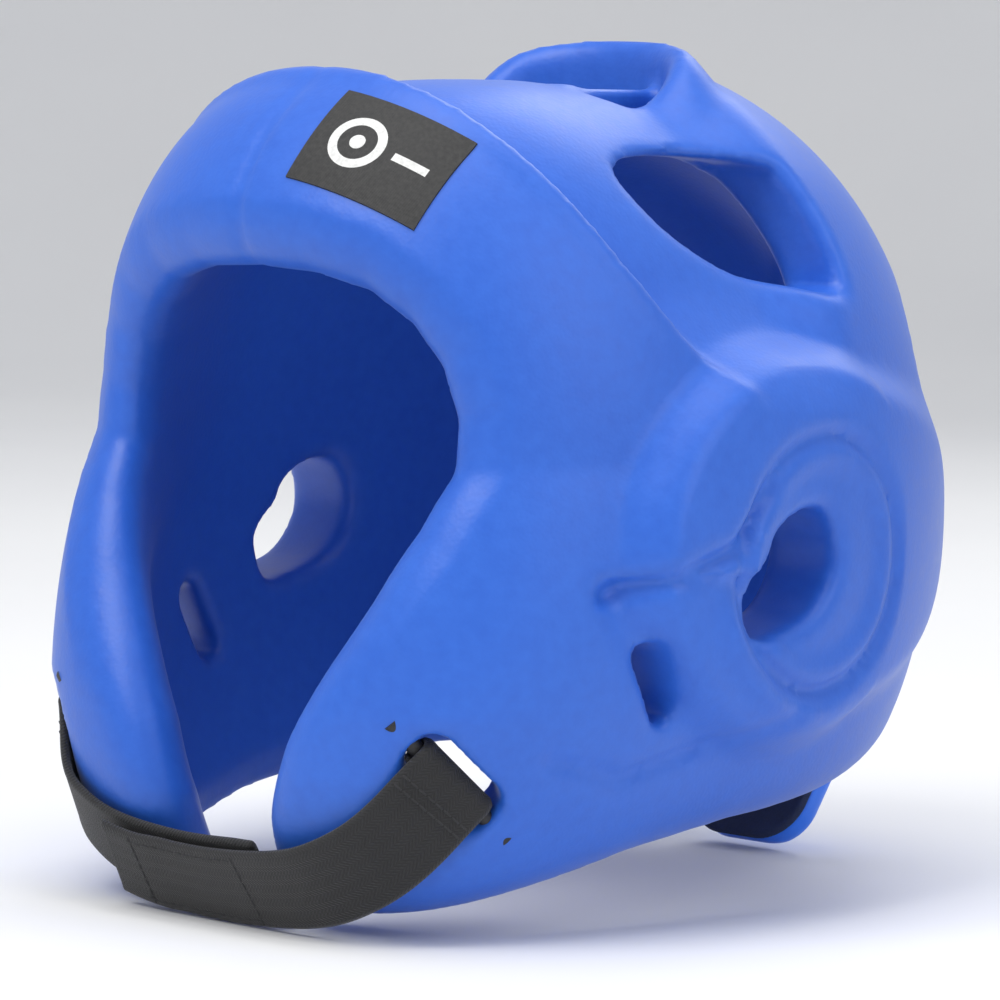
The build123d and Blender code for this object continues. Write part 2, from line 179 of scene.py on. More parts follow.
def frame_at(u, lift):
    """Place on the strap's route from the bar's centre, and the directions across it and out of it."""
    row = catmull(ROWS, u * 16.0)
    wide = row[3:6] / np.linalg.norm(row[3:6])
    along = row[6:9] / np.linalg.norm(row[6:9])
    out = np.cross(along, wide)
    out = out / np.linalg.norm(out)
    return row[:3] + out * lift, wide, out


# ------------------------------------------------------------------ the foam body as a distance field
def form_distance(x, y, z, side, front, rear, crown):
    """Level of the head form with the given half width and reaches: zero on it, negative inside."""
    ax = np.abs(x)
    ahead = y < 0
    reach = np.where(ahead, front, rear)
    square = np.where(ahead, 3.6 + (2.35 - 3.6) * np.clip((z - 60.0) / 65.0, 0, 1), 2.1)
    # above the widest level
    plan = ((ax / side) ** square + (np.abs(y) / reach) ** square) ** (1.0 / square)
    weight = (y / reach) ** 2 / ((ax / side) ** 2 + (y / reach) ** 2 + 1e-6)
    power = 2.2 * (1 - weight) + weight * np.where(ahead, 3.4, 2.4)
    up = np.clip((z - WIDEST) / (crown - WIDEST), 0, 3)
    high = (plan ** power + up ** power) ** (1.0 / power)
    # below it
    down = WIDEST - z
    side_low = side * np.maximum(1 - np.clip(down / 128.0, 0, 0.97) ** 2.2, 0.0) ** (1 / 2.2)
    rear_low = rear * np.maximum(1 - np.clip(down / 112.0, 0, 0.97) ** 2.4, 0.0) ** (1 / 2.4)
    tuck = np.clip((45.0 - z) / 75.0, 0, 0.97)
    front_low = front * np.sqrt(1 - tuck ** 2)
    reach_low = np.where(ahead, front_low, rear_low)
    low = ((ax / side_low) ** square + (np.abs(y) / reach_low) ** square) ** (1.0 / square)
    return np.where(z >= WIDEST, high, low) - 1.0


def true_distance(level, step):
    """A level set's value over its slope, which is close to the distance near the surface."""
    gx, gy, gz = np.gradient(level, step)
    slope = np.sqrt(gx * gx + gy * gy + gz * gz)
    return np.clip(level / np.maximum(slope, 2e-3), -60.0, 60.0)


# outlines: the face opening and the rear vent as (side, up), the ear hole and the side vent as (back, up)
FACE = ((0, 172), (20, 171), (36, 167), (47, 159), (54, 149), (58, 136), (58, 123), (54, 109), (46, 92),
        (35, 72), (25, 52), (18, 32), (15, 12), (15, -30))
EAR = ((-13.6, 90), (-10.5, 96), (-5.9, 100), (-2, 107), (7.6, 112), (17.3, 111.5), (22.3, 102.5),
       (21.2, 93.4), (13.5, 84.7), (0, 80.2), (-9.7, 79.6))
SIDE_VENT = ((-15, 200), (2, 203.5), (35, 202), (43, 196), (48, 170), (31, 170), (10, 175), (-6, 184),
             (-14, 193))
REAR_VENT = ((20, 134), (20, 168), (50, 167), (63, 155), (62, 137))
LOWER_EDGE = ((-130, 0.0), (-97, 0.5), (-83, 3.0), (-60, 9.5), (-26, 18.5), (10, 24), (60, 27), (105, 30.5),
              (150, 34))
# back edge of the raised front band, as (up, back)
RIDGE = ((120, 4), (145, -14), (160, -28), (178, -42), (196, -53), (212, -63), (222, -68), (236, -72))
# creases of the flap in front of the ear, as (back, up)
FLAP_CREASE = ((-58, 92), (-40, 98), (-22, 104), (-8, 118))
LOW_CREASE = ((-70, 50), (-46, 44), (-20, 50), (6, 58))
POD_Y, POD_Z, POD_PROUD = 12.0, 103.0, 9.0
EAR_Y, EAR_Z = 16.0, 98.0
VENT_Y, VENT_SIDE, VENT_REACH = 28.0, 29.0, 19.0
EAR_SLOT_Y, EAR_SLOT_Z, EAR_SLOT_TILT = -39.0, 69.0, radians(28.0)
BRIDGE_X, BRIDGE_Z, BRIDGE_RADIUS = 15.0, 216.0, 2.6


def ear_pod(x, y, y2, z2):
    """How far the ear pod stands out: it runs on round the back of the head as a lower band."""
    yy = np.where(y2 > 46, 46 + (y2 - 46) * 0.33, y2)
    q = np.sqrt(((yy - POD_Y) / 67.0) ** 2 + ((z2 - POD_Z) / np.where(z2 > POD_Z, 57.0, 60.0)) ** 2)
    proud = POD_PROUD - 5.0 * smooth(40, 110, y2)
    pod = smooth(1.0, 0.80, q) * proud
    return pod[None] * smooth(20, 55, np.abs(x) + np.maximum(y, 0) * 0.6)


def ear_relief(y2, z2):
    """Depth of the dished ring round the ear, less the raised lip below it."""
    r = np.sqrt((y2 - EAR_Y) ** 2 + (z2 - EAR_Z) ** 2)
    ring = 2.6 * np.exp(-((r - 34.0) / 2.4) ** 2) + 2.6 * smooth(33, 22, r)
    ring = ring * smooth(-34, -20, y2)
    angle = np.arctan2(z2 - EAR_Z, y2 - EAR_Y)
    lip = 2.6 * np.exp(-((r - 41.0) / 3.6) ** 2) * smooth(0.9, 1.9, -angle) * smooth(3.1, 2.6, -angle)
    return ring - lip


def flap_relief(y2, z2):
    """Depth of the creases of the flap in front of the ear, and of the shelf under the upper one."""
    flap = line_distance(FLAP_CREASE, y2, z2)
    low = line_distance(LOW_CREASE, y2, z2)
    crease = 3.2 * np.exp(-(flap / 2.4) ** 2) + 1.8 * np.exp(-(low / 2.4) ** 2)
    fade = np.exp(-(np.maximum(98 - z2, 0) / 26.0) ** 2)
    shelf = 2.2 * smooth(0, 1, fade * (z2 < 98) * smooth(-66, -50, y2) * smooth(-6, -16, y2))
    return crease + shelf


def crown_relief(y2, z2):
    """Depth of the crown behind the front band's ridge, less the lip of the ridge."""
    behind = y2 - np.interp(z2, [p[0] for p in RIDGE], [p[1] for p in RIDGE])
    sunk = 11.0 * smooth(-1.5, 5.0, behind) * smooth(46, 14, y2) * smooth(136, 172, z2)
    lip = 1.2 * np.exp(-((behind + 4.0) / 4.0) ** 2) * smooth(150, 180, z2)
    return sunk - lip


def strap_recess(along, across, out):
    """Distance from the channel under the strap where it climbs out of its slot."""
    path = []
    for i in range(7):
        middle, _, _ = frame_at(i / 16, inner_lift(i / 16) - STRAP_T / 2 - 0.8)
        place = middle + BAR / MM - np.array([0, STATION_Y, FLOOR_Z]) - SLOT
        path.append((place @ SLOT_SHORT, place @ SLOT_OUT, place @ SLOT_LONG))
    path.sort()
    bottom = np.interp(across, [p[0] for p in path], [p[1] for p in path])
    middle = np.interp(across, [p[0] for p in path], [p[2] for p in path])
    recess = smax(np.abs(along - middle) - 14.2, bottom - out, 3.0)
    return np.maximum(np.maximum(recess, across - 3.0), -30.0 - across)


def shell_field(x, y, z, step):
    """The foam's signed distance on a grid, in millimetres."""
    ax = np.abs(x)
    y2, z2 = y[0], z[0]  # the (y, z) grid
    front2 = (ax[:, 0, :], z[:, 0, :])  # the (|x|, z) grid
    xx, yv = x[:, :, 0], y[:, :, 0]  # the (x, y) grid
    outer = true_distance(form_distance(x, y, z, HALF_WIDTH, FRONT, REAR, CROWN), step)
    inner = true_distance(form_distance(x, y, z, HALF_WIDTH - SIDE_WALL, FRONT - FRONT_WALL,
                                        REAR - REAR_WALL, CROWN - CROWN_WALL), step)
    outer = outer - ear_pod(x, y, y2, z2)
    on_side = smooth(62, 76, ax)
    outer = outer + ear_relief(y2, z2)[None] * on_side
    outer = outer + flap_relief(y2, z2)[None] * on_side
    outer = outer + crown_relief(y2, z2)[None]
    # rim round the crown vent
    oval = np.sqrt((xx / VENT_SIDE) ** 2 + ((yv - VENT_Y) / VENT_REACH) ** 2)
    rim = 7.0 * smooth(1.65, 1.1, oval) * smooth(16, 38, yv)
    outer = outer - rim[:, :, None] * smooth(170, 205, z)
    # face frame falls away towards the opening, past a soft crease
    face = polygon_distance([(-p[0], p[1]) for p in FACE[:0:-1]] + list(FACE), *front2)
    ahead = smooth(-34, -58, y)
    fall = 0.38 * np.maximum(19.0 - np.maximum(face, 0), 0) * smooth(50, 90, z[:, 0, :])
    outer = outer + fall[:, None, :] * ahead
    # seam in the middle of the brow
    outer = outer + (1.1 * np.exp(-(xx / 1.6) ** 2))[:, :, None] * smooth(-60, -90, y)
    field = smax(outer, -inner, 7.0)
    # lower edge
    floor = np.interp(y2, [p[0] for p in LOWER_EDGE], [p[1] for p in LOWER_EDGE]) - z2
    field = smax(field, np.broadcast_to(floor[None], field.shape), 16.0)
    # face opening
    cut = np.maximum(np.broadcast_to(face[:, None, :], field.shape), y + 28.0)
    field = smax(field, -cut, 15.0)
    # ear holes, side vents and the narrow slots in front of the ears
    past_sides = 40.0 - ax
    for outline in (EAR, SIDE_VENT):
        hole = np.broadcast_to(polygon_distance(rounded(outline), y2, z2)[None], field.shape)
        field = smax(field, -np.maximum(hole, past_sides), 5.0)
    du, dv = y2 - EAR_SLOT_Y, z2 - EAR_SLOT_Z
    lu = -du * sin(EAR_SLOT_TILT) + dv * cos(EAR_SLOT_TILT)
    lv = du * cos(EAR_SLOT_TILT) + dv * sin(EAR_SLOT_TILT)
    narrow = np.sqrt(np.maximum(np.abs(lu) - 8.0, 0) ** 2 + lv ** 2) - 4.0
    field = smax(field, -np.maximum(np.broadcast_to(narrow[None], field.shape), past_sides), 4.0)
    # rear vents and crown vent
    rear = polygon_distance(rounded(REAR_VENT), *front2)
    field = smax(field, -np.maximum(np.broadcast_to(rear[:, None, :], field.shape), 40.0 - y), 7.0)
    oval_cut = (oval - 1.0) * VENT_REACH
    field = smax(field, -np.maximum(np.broadcast_to(oval_cut[:, :, None], field.shape), 150.0 - z), 9.0)
    # strap recess and cheek slot
    rel = [v - s for v, s in zip((ax, y, z), SLOT)]
    along = sum(v * s for v, s in zip(rel, SLOT_LONG))
    across = sum(v * s for v, s in zip(rel, SLOT_SHORT))
    out = sum(v * s for v, s in zip(rel, SLOT_OUT))
    field = smax(field, -strap_recess(along, across, out), 3.0)
    box = np.sqrt(np.maximum(np.abs(along) - 8.6, 0) ** 2 + np.maximum(np.abs(across) - 2.0, 0) ** 2) - 5.0
    field = smax(field, -np.maximum(box, np.abs(out) - 34.0), 3.5)
    # bridge across the crown vent
    bx = x - BRIDGE_X
    bridge = np.sqrt(bx ** 2 + np.maximum(np.abs(z - BRIDGE_Z) - 3.0, 0) ** 2) - BRIDGE_RADIUS
    bridge = np.maximum(bridge, np.abs(y - VENT_Y) - 22.0)
    return smin(field, bridge, 4.0)


def mesh_from_field(low, high, step, maker):
    """A closed mesh of the zero level of a field sampled on a grid, in millimetres."""
    axes = [np.arange(a, b + step * 0.5, step) for a, b in zip(low, high)]
    x, y, z = np.meshgrid(*axes, indexing="ij")
    field = maker(x, y, z, step)
    grid = openvdb.FloatGrid(background=20.0)
    grid.copyFromArray(np.ascontiguousarray(np.clip(field, -20, 20), dtype=np.float32))
    verts, tris, quads = grid.convertToPolygons(isovalue=0.0, adaptivity=0.0)
    verts = verts * step + np.array(low)
    faces = [tuple(int(i) for i in f[::-1]) for f in quads] + [tuple(int(i) for i in f[::-1]) for f in tris]
    return verts, faces


def new_object(name, verts, faces, uv=None, flat=False):
    mesh = bpy.data.meshes.new(name)
    mesh.from_pydata([tuple(v) for v in verts], [], faces)
    mesh.validate()
    mesh.update()
    if uv is not None:
        layer = mesh.uv_layers.new(name="weave")
        for loop in mesh.loops:
            layer.data[loop.index].uv = uv[loop.vertex_index]
    if not flat:
        mesh.polygons.foreach_set("use_smooth", [True] * len(mesh.polygons))
    obj = bpy.data.objects.new(name, mesh)
    bpy.context.scene.collection.objects.link(obj)
    return obj


def biggest_piece(verts, faces):
    """Keeps the largest connected piece, so that no crumb is left floating."""
    parent = np.arange(len(verts))

    def root(i):
        while parent[i] != i:
            parent[i] = parent[parent[i]]
            i = parent[i]
        return i
    for f in faces:
        a = root(f[0])
        for i in f[1:]:
            b = root(i)
            if a != b:
                parent[b] = a
    roots = np.array([root(i) for i in range(len(verts))])
    values, counts = np.unique(roots, return_counts=True)
    keep = roots == values[counts.argmax()]
    index = np.cumsum(keep) - 1
    return verts[keep], [tuple(int(index[i]) for i in f) for f in faces if keep[f[0]]]


# ------------------------------------------------------------------ materials
def material(name):
    mat = bpy.data.materials.new(name)
    mat.use_nodes = True
    nodes = mat.node_tree.nodes
    nodes.clear()
    out = nodes.new("ShaderNodeOutputMaterial")
    shader = nodes.new("ShaderNodeBsdfPrincipled")
    mat.node_tree.links.new(shader.outputs["BSDF"], out.inputs["Surface"])
    return mat, nodes, mat.node_tree.links, shader


def noise(nodes, links, coords, scale, detail=2.0, rough=0.5):
    tex = nodes.new("ShaderNodeTexNoise")
    tex.inputs["Scale"].default_value = scale
    tex.inputs["Detail"].default_value = detail
    tex.inputs["Roughness"].default_value = rough
    links.new(coords, tex.inputs["Vector"])
    return tex.outputs["Fac"]


def ramp(nodes, links, fac, stops):
    node = nodes.new("ShaderNodeValToRGB")
    elements = node.color_ramp.elements
    while len(elements) < len(stops):
        elements.new(0.5)
    for element, (pos, colour) in zip(elements, stops):
        element.position = pos
        element.color = (*colour, 1.0)
    links.new(fac, node.inputs["Fac"])
    return node.outputs["Color"]


def maths(nodes, links, op, a, b=None, c=None):
    node = nodes.new("ShaderNodeMath")
    node.operation = op
    for i, v in enumerate((a, b, c)):
        if v is None:
            continue
        if isinstance(v, (int, float)):
            node.inputs[i].default_value = v
        else:
            links.new(v, node.inputs[i])
    return node.outputs[0]


def bump(nodes, links, height, strength, distance):
    node = nodes.new("ShaderNodeBump")
    node.inputs["Strength"].default_value = strength
    node.inputs["Distance"].default_value = distance
    links.new(height, node.inputs["Height"])
    return node.outputs["Normal"]


def pebbled(name, dark, light, roughness, grain=900.0, depth=0.00012, strength=0.35):
    """Moulded skin with a fine pebble grain and faint handling marks."""
    mat, nodes, links, shader = material(name)
    coords = nodes.new("ShaderNodeTexCoord").outputs["Object"]
    cells = nodes.new("ShaderNodeTexVoronoi")
    cells.feature = "SMOOTH_F1"
    cells.inputs["Scale"].default_value = grain
    links.new(coords, cells.inputs["Vector"])
    broad = noise(nodes, links, coords, 9.0, 3.0)
    fine = noise(nodes, links, coords, 260.0, 2.0)
    shade = maths(nodes, links, "MULTIPLY_ADD", fine, 0.35, maths(nodes, links, "MULTIPLY", broad, 0.65))
    links.new(ramp(nodes, links, shade, ((0.3, dark), (0.7, light))), shader.inputs["Base Color"])
    rough = maths(nodes, links, "MULTIPLY_ADD", fine, 0.12, roughness - 0.06)
    links.new(rough, shader.inputs["Roughness"])
    height = maths(nodes, links, "MULTIPLY_ADD", broad, 0.4, cells.outputs["Distance"])
    links.new(bump(nodes, links, height, strength, depth), shader.inputs["Normal"])
    shader.inputs["Specular IOR Level"].default_value = 0.5
    shader.inputs["Sheen Weight"].default_value = 0.08
    shader.inputs["Sheen Roughness"].default_value = 0.4
    return mat


def woven(name, dark, light, pitch=0.0011, roughness=0.75, depth=0.00025):
    """Webbing: slanted yarns in rows across the band, from the mesh's own (across, along) lengths."""
    mat, nodes, links, shader = material(name)
    uv = nodes.new("ShaderNodeUVMap")
    uv.uv_map = "weave"
    split = nodes.new("ShaderNodeSeparateXYZ")
    links.new(uv.outputs["UV"], split.inputs["Vector"])
    across, along = split.outputs["X"], split.outputs["Y"]
    row = maths(nodes, links, "PINGPONG", across, pitch * 2.0)
    slant = maths(nodes, links, "ADD", along, row)
    yarn = maths(nodes, links, "SINE", maths(nodes, links, "MULTIPLY", slant, 2 * pi / pitch))
    cord = maths(nodes, links, "SINE", maths(nodes, links, "MULTIPLY", across, pi / pitch))
    weave = maths(nodes, links, "MULTIPLY", yarn, maths(nodes, links, "ABSOLUTE", cord))
    coords = nodes.new("ShaderNodeTexCoord").outputs["Object"]
    fuzz = noise(nodes, links, coords, 1800.0, 3.0, 0.7)
    height = maths(nodes, links, "MULTIPLY_ADD", weave, 0.5, fuzz)
    broad = noise(nodes, links, coords, 30.0, 2.0)
    worn = maths(nodes, links, "MULTIPLY_ADD", broad, 0.3, maths(nodes, links, "MULTIPLY", fuzz, 0.5))
    shade = maths(nodes, links, "MULTIPLY_ADD", weave, 0.22, worn)
    links.new(ramp(nodes, links, shade, ((0.2, dark), (0.75, light))), shader.inputs["Base Color"])
    links.new(maths(nodes, links, "MULTIPLY_ADD", fuzz, 0.15, roughness - 0.07), shader.inputs["Roughness"])
    links.new(bump(nodes, links, height, 0.6, depth), shader.inputs["Normal"])
    shader.inputs["Sheen Weight"].default_value = 0.15
    return mat


def fibrous(name, dark, light, scale=1400.0, roughness=0.9, depth=0.0003):
    """Cloth, hook and loop faces or thread: a fine irregular fibre."""
    mat, nodes, links, shader = material(name)
    coords = nodes.new("ShaderNodeTexCoord").outputs["Object"]
    a = noise(nodes, links, coords, scale, 4.0, 0.75)
    b = noise(nodes, links, coords, 60.0, 2.0)
    shade = maths(nodes, links, "MULTIPLY_ADD", b, 0.35, maths(nodes, links, "MULTIPLY", a, 0.65))
    links.new(ramp(nodes, links, shade, ((0.3, dark), (0.7, light))), shader.inputs["Base Color"])
    links.new(maths(nodes, links, "MULTIPLY_ADD", a, 0.12, roughness - 0.06), shader.inputs["Roughness"])
    links.new(bump(nodes, links, a, 0.7, depth), shader.inputs["Normal"])
    return mat


# the label's plain mark, in metres from its middle
RING_X, RING_RADIUS, RING_HALF_LINE, DOT_RADIUS = -0.0065, 0.0068, 0.0013, 0.0022
BAR_X, BAR_HALF_LENGTH, BAR_HALF_LINE = 0.0100, 0.0052, 0.0012
THREAD_PITCH, WARP_PITCH = 0.00045, 0.0006


def label_material():
    """Black woven label with a light ring, dot and bar, from its (across, up) lengths in metres."""
    mat, nodes, links, shader = material("label_weave")
    uv = nodes.new("ShaderNodeUVMap")
    uv.uv_map = "weave"
    split = nodes.new("ShaderNodeSeparateXYZ")
    links.new(uv.outputs["UV"], split.inputs["Vector"])
    u, v = split.outputs["X"], split.outputs["Y"]

    def calc(op, a, b=None):
        return maths(nodes, links, op, a, b)

    def near(value, middle, reach):
        return calc("LESS_THAN", calc("ABSOLUTE", calc("SUBTRACT", value, middle)), reach)

    ru = calc("SUBTRACT", u, RING_X)
    radius = calc("SQRT", calc("ADD", calc("MULTIPLY", ru, ru), calc("MULTIPLY", v, v)))
    ring = near(radius, RING_RADIUS, RING_HALF_LINE)
    dot = calc("LESS_THAN", radius, DOT_RADIUS)
    bar = calc("MULTIPLY", near(u, BAR_X, BAR_HALF_LENGTH), near(v, 0.0, BAR_HALF_LINE))
    mark = calc("MAXIMUM", calc("MAXIMUM", ring, dot), bar)
    thread = calc("SINE", calc("MULTIPLY", v, 2 * pi / THREAD_PITCH))
    warp = calc("SINE", calc("MULTIPLY", u, 2 * pi / WARP_PITCH))
    weave = calc("MULTIPLY", thread, warp)
    mix = nodes.new("ShaderNodeMix")
    mix.data_type = "RGBA"
    coords = nodes.new("ShaderNodeTexCoord").outputs["Object"]
    fuzz = noise(nodes, links, coords, 900.0, 3.0)
    links.new(mark, mix.inputs["Factor"])
    black_yarn = ramp(nodes, links, fuzz, ((0.3, (0.016, 0.016, 0.016)), (0.7, (0.035, 0.034, 0.033))))
    links.new(black_yarn, mix.inputs["A"])
    pale_yarn = ramp(nodes, links, fuzz, ((0.3, (0.62, 0.62, 0.60)), (0.7, (0.80, 0.80, 0.78))))
    links.new(pale_yarn, mix.inputs["B"])
    links.new(mix.outputs["Result"], shader.inputs["Base Color"])
    links.new(maths(nodes, links, "MULTIPLY_ADD", fuzz, 0.1, 0.6), shader.inputs["Roughness"])
    height = maths(nodes, links, "MULTIPLY_ADD", weave, 0.5, fuzz)
    links.new(bump(nodes, links, height, 0.5, 0.00012), shader.inputs["Normal"])
    return mat


BLUE = pebbled("foam_skin", (0.018, 0.105, 0.54), (0.026, 0.140, 0.64), 0.42)
# brighter copy of the foam skin: painted light for the lit face of the nape pad
PAD_PAINTED_LIGHT = pebbled("pad_skin_painted_light", (0.010, 0.150, 0.80), (0.016, 0.190, 0.90), 0.38, grain=700.0)
WEBBING = woven("webbing", (0.006, 0.006, 0.0065), (0.024, 0.024, 0.026))
# dark navy cloth: painted shade for the shaded inner face of the nape tab
NAVY_PAINTED_SHADE = fibrous("tab_cloth_painted_shade", (0.006, 0.012, 0.045), (0.016, 0.030, 0.09))
HOOK = fibrous("hook_face", (0.006, 0.006, 0.006), (0.030, 0.030, 0.032), 2400.0, 0.8, 0.0006)
LOOP = fibrous("loop_face", (0.010, 0.010, 0.011), (0.040, 0.040, 0.043), 1100.0, 0.95, 0.0008)
THREAD = fibrous("thread", (0.012, 0.012, 0.013), (0.050, 0.050, 0.054), 3000.0, 0.7, 0.0002)
PIN = fibrous("moulded_pin", (0.010, 0.010, 0.011), (0.022, 0.022, 0.024), 500.0, 0.5, 0.0001)
LABEL = label_material()

# ------------------------------------------------------------------ foam body
STEP = 2.0
GRID_LOW, GRID_HIGH = (-119.0, -124.0, -6.0), (119.0, 152.0, 249.0)
verts, faces = mesh_from_field(GRID_LOW, GRID_HIGH, STEP, shell_field)
verts, faces = biggest_piece(verts, faces)
shell = new_object("foam_body", to_frame(verts), faces)
shell.data.materials.append(BLUE)
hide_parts("foam_shell")
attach(shell, "shell")
shell_tree = BVHTree.FromPolygons([tuple(v) for v in to_frame(verts)], faces)

# ------------------------------------------------------------------ straps
LOOP_TURN, LOOP_STEPS, LOOP_PITCH = 300.0, 34, 0.6
ACROSS_STEPS, END_SQUEEZE = 22, 0.55


def band(name, side, u0, u1, lift, offset, width, thick, mat, loop=False):
    """A woven band along the route, with soft edges; the strap's own band also wraps round its bar."""
    profile = []
    half = width / 2
    for i in range(ACROSS_STEPS + 1):
        s = -half + width * i / ACROSS_STEPS
        edge = max(0.0, 1 - (half - abs(s)) / 1.3)
        hem = 0.0875 * np.exp(-((half - 2.0 - abs(s)) / 0.7) ** 2)
        profile.append((s, thick / 2 * (1 - 0.55 * edge * edge) + hem))
    ring = [(s, h) for s, h in profile] + [(s, -h) for s, h in reversed(profile)]
    frames = []
    if loop:
        centre0, wide0, out0 = frame_at(0.0, lift(0.0))
        axis = Vector(SLOT_LONG)
        for i in range(LOOP_STEPS, 0, -1):
            turn = Quaternion(axis, radians(LOOP_TURN * i / LOOP_STEPS)).to_matrix()
            turned = [np.array(turn @ Vector(v)) for v in (centre0, wide0, out0)]
            frames.append((*turned, -i * LOOP_PITCH))
    steps = int(110 * (u1 - u0)) + 4
    for i in range(steps + 1):
        u = u0 + (u1 - u0) * i / steps
        centre, wide, out = frame_at(u, lift(u) + offset)
        frames.append((centre, wide, out, u * ROUTE_LENGTH))
    vs, uv = [], []
    count = len(frames)
    for j, (centre, wide, out, length) in enumerate(frames):
        squeeze = END_SQUEEZE if j in (0, count - 1) else 1.0
        for s, h in ring:
            p = centre + wide * s + out * (h * squeeze)
            p = p * MM + BAR
            if side < 0:
                p = p * np.array([-1, 1, 1])
            vs.append(p)
            uv.append((s * MM, length * MM))
    m = len(ring)
    fs = []
    for j in range(count - 1):
        for i in range(m):
            a, b = j * m + i, j * m + (i + 1) % m
            quad = (a, b, b + m, a + m)
            fs.append(quad if side > 0 else quad[::-1])
    first, last = tuple(range(m)), tuple(range((count - 1) * m, count * m))
    fs.append(first[::-1] if side > 0 else first)
    fs.append(last if side > 0 else last[::-1])
    obj = new_object(name, vs, fs, uv)
    obj.data.materials.append(mat)
    return obj


left = band("left_strap_band", 1, 0.0, 1.0, outer_lift, 0.0, STRAP_W, STRAP_T, WEBBING, loop=True)
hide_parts("left_chin_strap")
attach(left, "left_strap")
right = band("right_strap_band", -1, 0.0, 14 / 16, inner_lift, 0.0, STRAP_W, STRAP_T, WEBBING, loop=True)
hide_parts("right_chin_strap")
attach(right, "right_strap")
FACING_OFFSET = (STRAP_T + FACING_T) / 2
hook = band("hook_facing", 1, 9 / 16, 15 / 16, outer_lift, -FACING_OFFSET, FACING_W, FACING_T, HOOK)
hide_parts("hook_patch")
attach(hook, "left_strap")
loop_face = band("loop_facing", -1, 9 / 16, 13 / 16, inner_lift, FACING_OFFSET, FACING_W, FACING_T, LOOP)
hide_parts("loop_patch")
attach(loop_face, "right_strap")


def ring_quads(rings, sides):
    """Quads between closed rings of verts that follow one another."""
    quads = []
    for i in range(rings - 1):
        low, high = i * sides, (i + 1) * sides
        for j in range(sides):
            k = (j + 1) % sides
            quads.append((low + j, low + k, high + k, high + j))
    return quads


def capsule(p, q, radius, sides=8, caps=2):
    """Verts and faces of a round-ended thread from p to q."""
    p, q = Vector(p), Vector(q)
    axis = (q - p).normalized()
    a = axis.orthogonal().normalized()
    b = axis.cross(a)
    rings = []
    for i in range(caps):
        t = pi / 2 * (i + 0.35) / (caps + 0.35)
        rings.append((p - axis * radius * cos(t), radius * sin(t)))
    rings += [(p, radius), (p.lerp(q, 0.5), radius * 1.06), (q, radius)]
    for i in reversed(range(caps)):
        t = pi / 2 * (i + 0.35) / (caps + 0.35)
        rings.append((q + axis * radius * cos(t), radius * sin(t)))
    turns = [2 * pi * j / sides for j in range(sides)]
    vs = [tuple(c + (a * cos(t) + b * sin(t)) * r) for c, r in rings for t in turns]
    fs = ring_quads(len(rings), sides)
    fs.append(tuple(range(sides))[::-1])
    fs.append(tuple(range((len(rings) - 1) * sides, len(rings) * sides)))
    return vs, fs


def threads(name, segments, radius, mat):
    """One object holding a stitch for each (start, end)."""
    vs, fs = [], []
    for p, q in segments:
        v, f = capsule(p, q, radius)
        fs += [tuple(i + len(vs) for i in face) for face in f]
        vs += v
    obj = new_object(name, vs, fs)
    obj.data.materials.append(mat)
    return obj


def strap_threads(name, side, lift, end, rows):
    """Rows of stitches on the outer face: pairs across the strap near its loop and round its free end."""
    segments = []
    flip = np.array([side, 1, 1])
    for u in rows:
        centre, wide, out = frame_at(u, lift(u) + STRAP_T / 2 + 0.1)
        for i in range(8):
            s = -10.2 + i * 2.9
            a, b = centre + wide * (s - 0.95) + out * -0.12, centre + wide * (s + 0.95) + out * -0.12
            segments.append(((a * MM + BAR) * flip, (b * MM + BAR) * flip))
    for edge in (-9.8, 9.8):
        u = 9.3 / 16
        while u < end - 0.02:
            p0, w0, _ = frame_at(u, lift(u) + STRAP_T / 2 + 0.02)
            p1, w1, _ = frame_at(u + 0.017, lift(u + 0.017) + STRAP_T / 2 + 0.02)
            a, b = p0 + w0 * edge, p1 + w1 * edge
            segments.append(((a * MM + BAR) * flip, (b * MM + BAR) * flip))
            u += 0.026
    return threads(name, segments, 0.00032, THREAD)


left_thread = strap_threads("left_strap_thread", 1, outer_lift, 15 / 16, (0.05, 0.075, 0.9, 0.57))
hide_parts("left_strap_stitching")
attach(left_thread, "left_strap")
right_thread = strap_threads("right_strap_thread", -1, inner_lift, 0.58, (0.05, 0.075))
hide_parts("right_strap_stitching")
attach(right_thread, "right_strap")

# ------------------------------------------------------------------ forehead label
low, high = (np.array(v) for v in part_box("forehead_label"))
label_mid = Vector((low + high) / 2)
LABEL_OUT = Vector((0.38, -0.70, 0.60)).normalized()
hit = shell_tree.ray_cast(label_mid + LABEL_OUT * 0.05, -LABEL_OUT)
normal = sum((shell_tree.ray_cast(label_mid + LABEL_OUT * 0.05 + Vector(d) * 0.008, -LABEL_OUT)[1]
              for d in ((1, 0, 0), (-1, 0, 0), (0, 0, 1), (0, 0, -1), (0, 0, 0))), Vector())
normal.normalize()
level = Vector((1.0, 0.0, -0.10))
across = (level - normal * level.dot(normal)).normalized()
upward = normal.cross(across)
LW, LH = 0.0405, 0.0305
nu, nv = 44, 34
vs, uv, fs = [], [], []
for layer, lift in ((0, 0.0010), (1, -0.0006)):
    for j in range(nv + 1):
        for i in range(nu + 1):
            du, dv = (i / nu - 0.5) * LW, (j / nv - 0.5) * LH
            origin = hit[0] + across * du + upward * dv + normal * 0.02
            got = shell_tree.ray_cast(origin, -normal)
            depth = got[3] if got[0] is not None else 0.02
            vs.append((origin - normal * (min(max(depth, 0.012), 0.03) - lift)))
            uv.append((du, dv))
heights = np.array([(v - hit[0]).dot(normal) for v in vs]).reshape(2, nv + 1, nu + 1)
for _ in range(12):
    heights[:, 1:-1, 1:-1] = (heights[:, 1:-1, 1:-1] * 2 + heights[:, :-2, 1:-1] + heights[:, 2:, 1:-1]
                              + heights[:, 1:-1, :-2] + heights[:, 1:-1, 2:]) / 6
heights = heights.reshape(-1)
vs = [v - normal * (v - hit[0]).dot(normal) + normal * float(h) for v, h in zip(vs, heights)]
